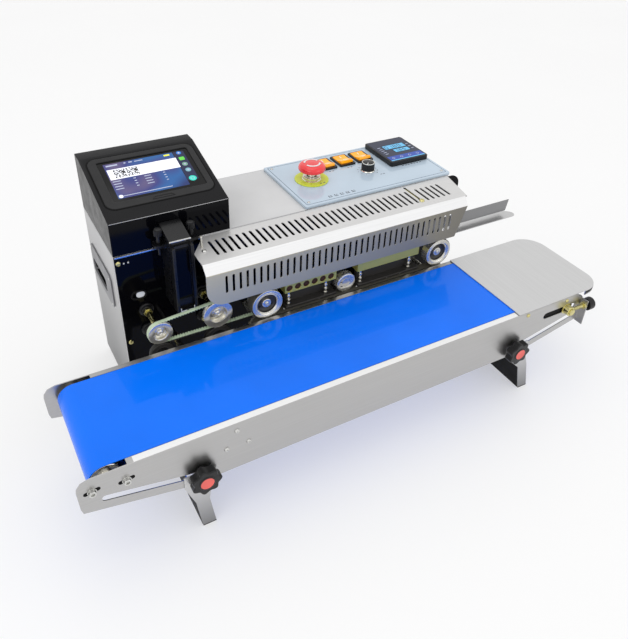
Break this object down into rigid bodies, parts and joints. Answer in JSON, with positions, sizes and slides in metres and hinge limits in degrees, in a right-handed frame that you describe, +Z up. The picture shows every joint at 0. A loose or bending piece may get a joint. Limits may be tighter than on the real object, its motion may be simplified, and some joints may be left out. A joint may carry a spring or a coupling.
{
  "type": "continuous band sealer",
  "caption": "Tabletop continuous band sealer with a belt conveyor, heated sealing head under a slotted guard, ink-jet coder with touch screen and a control panel.",
  "frame": {"origin": "centre of the footprint box, on the floor", "axes": "+X along the conveyor towards the infeed table, +Y from the conveyor towards the casing's back, +Z up"},
  "size_m": [0.858, 0.4144, 0.357],
  "materials": {
    "stainless": "brushed stainless sheet, bright",
    "bright_steel": "turned and polished steel",
    "white_paint": "light grey powder coat, satin",
    "black_plate": "gloss black enamel",
    "black_plastic": "black moulded plastic, semi-gloss",
    "matte_black": "black moulded plastic, fine grain",
    "grey_plastic": "mid grey moulded plastic",
    "panel_face": "pale blue printed overlay, gloss",
    "screen": "dark glossy touch screen, lit",
    "red_plastic": "red moulded plastic, gloss",
    "yellow_plastic": "yellow moulded plastic",
    "orange_plastic": "translucent orange rocker lens",
    "brass": "machined brass, slightly dull",
    "rubber": "black rubber",
    "blue_belt": "bright blue smooth PVC belting, glossy",
    "band_cloth": "pale coated glass-cloth band",
    "guide_belting": "pale green urethane belting",
    "motor_metal": "grey painted castings"
  },
  "bodies": {
    "machine": {"conveyor_front_rail": "stainless", "conveyor_rear_rail": "stainless", "conveyor_bed": "stainless", "conveyor_belt": "blue_belt", "infeed_table": "stainless", "casing_shell": "white_paint", "left_handle_cup": "grey_plastic", "right_handle_cup": "grey_plastic", "base_plate": "stainless", "rubber_foot_1": "rubber", "rubber_foot_2": "rubber", "rubber_foot_3": "rubber", "rubber_foot_4": "rubber", "rear_cover": "white_paint", "front_plate": "black_plate", "printer_hood": "black_plastic", "touch_screen": "screen", "control_panel": "panel_face", "estop_collar": "yellow_plastic", "temperature_controller": "matte_black", "upper_sealing_band": "band_cloth", "lower_sealing_band": "band_cloth", "upper_heating_block": "brass", "lower_heating_block": "brass", "upper_cooling_block": "brass", "lower_cooling_block": "brass", "upper_guide_belt": "guide_belting", "lower_guide_belt": "guide_belting", "guard_cover": "stainless", "lower_bag_guide": "stainless", "upper_bag_guide": "stainless", "gear_motor": "motor_metal"},
    "upper_drive": {"upper_drive_wheel": "bright_steel", "upper_drive_gear": "brass"},
    "lower_drive": {"lower_drive_wheel": "bright_steel", "lower_drive_gear": "brass"},
    "upper_driven": {"upper_driven_wheel": "bright_steel"},
    "lower_driven": {"lower_driven_wheel": "bright_steel"},
    "press_roll": {"press_wheel": "bright_steel"},
    "backing_roll": {"backing_wheel": "bright_steel"},
    "upper_guide_end": {"upper_guide_pulley_end": "bright_steel"},
    "upper_guide_middle": {"upper_guide_pulley_middle": "bright_steel"},
    "lower_guide_end": {"lower_guide_pulley_end": "bright_steel"},
    "lower_guide_middle": {"lower_guide_pulley_middle": "bright_steel"},
    "discharge": {"discharge_roller": "bright_steel"},
    "infeed": {"infeed_roller": "bright_steel"},
    "conveyor_drive": {"conveyor_drive_roller": "bright_steel"},
    "left_stand": {"left_leg": "stainless"},
    "right_stand": {"right_leg": "stainless"},
    "left_clamp": {"left_star_knob": "black_plastic"},
    "right_clamp": {"right_star_knob": "black_plastic"},
    "tensioner": {"tension_screw": "black_plastic"},
    "stop_button": {"estop_button": "red_plastic"},
    "rocker_one": {"rocker_1": "orange_plastic"},
    "rocker_two": {"rocker_2": "orange_plastic"},
    "rocker_three": {"rocker_3": "orange_plastic"},
    "speed_dial": {"speed_knob": "matte_black"},
    "printer_carriage": {"print_cartridge": "black_plastic"},
    "thumbscrew_left": {"cartridge_screw_left": "matte_black"},
    "thumbscrew_right": {"cartridge_screw_right": "matte_black"}
  },
  "joints": [
    {"name": "main_drive", "type": "hinge", "parent": "machine", "child": "upper_drive", "pos_m": [-0.114, 0.00025, 0.1835], "axis": [0, 1, 0], "continuous": true},
    {"name": "lower_drive_spin", "type": "hinge", "parent": "machine", "child": "lower_drive", "pos_m": [-0.114, 0.00025, 0.1339], "axis": [0, 1, 0], "continuous": true},
    {"name": "upper_driven_spin", "type": "hinge", "parent": "machine", "child": "upper_driven", "pos_m": [0.193, 0.00025, 0.1835], "axis": [0, 1, 0], "continuous": true},
    {"name": "lower_driven_spin", "type": "hinge", "parent": "machine", "child": "lower_driven", "pos_m": [0.193, 0.00025, 0.1339], "axis": [0, 1, 0], "continuous": true},
    {"name": "press_wheel_spin", "type": "hinge", "parent": "machine", "child": "press_roll", "pos_m": [0.021, 0.00025, 0.1758], "axis": [0, 1, 0], "continuous": true},
    {"name": "backing_wheel_spin", "type": "hinge", "parent": "machine", "child": "backing_roll", "pos_m": [0.021, 0.00025, 0.1416], "axis": [0, 1, 0], "continuous": true},
    {"name": "upper_guide_end_spin", "type": "hinge", "parent": "machine", "child": "upper_guide_end", "pos_m": [-0.2675, 0.00025, 0.1764], "axis": [0, 1, 0], "continuous": true},
    {"name": "upper_guide_middle_spin", "type": "hinge", "parent": "machine", "child": "upper_guide_middle", "pos_m": [-0.184, 0.00025, 0.18], "axis": [0, 1, 0], "continuous": true},
    {"name": "lower_guide_end_spin", "type": "hinge", "parent": "machine", "child": "lower_guide_end", "pos_m": [-0.2675, 0.00025, 0.141], "axis": [0, 1, 0], "continuous": true},
    {"name": "lower_guide_middle_spin", "type": "hinge", "parent": "machine", "child": "lower_guide_middle", "pos_m": [-0.184, 0.00025, 0.1374], "axis": [0, 1, 0], "continuous": true},
    {"name": "discharge_spin", "type": "hinge", "parent": "machine", "child": "discharge", "pos_m": [-0.393, 0.00025, 0.1403], "axis": [0, 1, 0], "continuous": true},
    {"name": "infeed_spin", "type": "hinge", "parent": "machine", "child": "infeed", "pos_m": [0.322, 0.00025, 0.1403], "axis": [0, 1, 0], "continuous": true},
    {"name": "conveyor_drive_spin", "type": "hinge", "parent": "machine", "child": "conveyor_drive", "pos_m": [-0.238, 0.00025, 0.132], "axis": [0, 1, 0], "continuous": true},
    {"name": "left_leg_slide", "type": "slide", "parent": "machine", "child": "left_stand", "axis": [-0.9777, 0, 0.2101], "range_m": [0, 0.116]},
    {"name": "left_knob_turn", "type": "hinge", "parent": "left_stand", "child": "left_clamp", "pos_m": [-0.2855, -0.19975, 0.0975], "axis": [0, -1, 0], "continuous": true},
    {"name": "right_leg_slide", "type": "slide", "parent": "machine", "child": "right_stand", "axis": [0.9777, 0, 0.2101], "range_m": [0, 0.08]},
    {"name": "right_knob_turn", "type": "hinge", "parent": "right_stand", "child": "right_clamp", "pos_m": [0.222, -0.19975, 0.0975], "axis": [0, -1, 0], "continuous": true},
    {"name": "tension_turn", "type": "hinge", "parent": "machine", "child": "tensioner", "pos_m": [0.361, -0.19675, 0.1403], "axis": [1, 0, 0], "continuous": true},
    {"name": "emergency_stop_push", "type": "slide", "parent": "machine", "child": "stop_button", "axis": [0, 0, -1], "range_m": [0, 0.005]},
    {"name": "rocker_one_tip", "type": "hinge", "parent": "machine", "child": "rocker_one", "pos_m": [0.086, 0.16925, 0.2782], "axis": [1, 0, 0], "range_deg": [0, 16]},
    {"name": "rocker_two_tip", "type": "hinge", "parent": "machine", "child": "rocker_two", "pos_m": [0.1215, 0.16925, 0.2782], "axis": [1, 0, 0], "range_deg": [0, 16]},
    {"name": "rocker_three_tip", "type": "hinge", "parent": "machine", "child": "rocker_three", "pos_m": [0.157, 0.16925, 0.2782], "axis": [1, 0, 0], "range_deg": [0, 16]},
    {"name": "speed_turn", "type": "hinge", "parent": "machine", "child": "speed_dial", "pos_m": [0.1415, 0.12225, 0.2817], "axis": [0, 0, -1], "range_deg": [0, 280]},
    {"name": "cartridge_lift", "type": "slide", "parent": "machine", "child": "printer_carriage", "axis": [0, 0, 1], "range_m": [0, 0.015]},
    {"name": "thumbscrew_left_turn", "type": "hinge", "parent": "printer_carriage", "child": "thumbscrew_left", "pos_m": [-0.243, 0.04125, 0.295], "axis": [0, 0, 1], "continuous": true},
    {"name": "thumbscrew_right_turn", "type": "hinge", "parent": "printer_carriage", "child": "thumbscrew_right", "pos_m": [-0.198, 0.04125, 0.295], "axis": [0, 0, 1], "continuous": true}
  ],
  "couplings": [
    {"joint": "lower_drive_spin", "follows": "main_drive", "ratio": -1},
    {"joint": "upper_driven_spin", "follows": "main_drive", "ratio": 1},
    {"joint": "lower_driven_spin", "follows": "main_drive", "ratio": -1},
    {"joint": "press_wheel_spin", "follows": "main_drive", "ratio": 1.4556},
    {"joint": "backing_wheel_spin", "follows": "main_drive", "ratio": -1.4556},
    {"joint": "upper_guide_end_spin", "follows": "main_drive", "ratio": 1.4057},
    {"joint": "upper_guide_middle_spin", "follows": "main_drive", "ratio": 1.1659},
    {"joint": "lower_guide_end_spin", "follows": "main_drive", "ratio": -1.4057},
    {"joint": "lower_guide_middle_spin", "follows": "main_drive", "ratio": -1.1659},
    {"joint": "discharge_spin", "follows": "main_drive", "ratio": -1.1336},
    {"joint": "infeed_spin", "follows": "main_drive", "ratio": -1.1336},
    {"joint": "conveyor_drive_spin", "follows": "main_drive", "ratio": -1.1336}
  ]
}
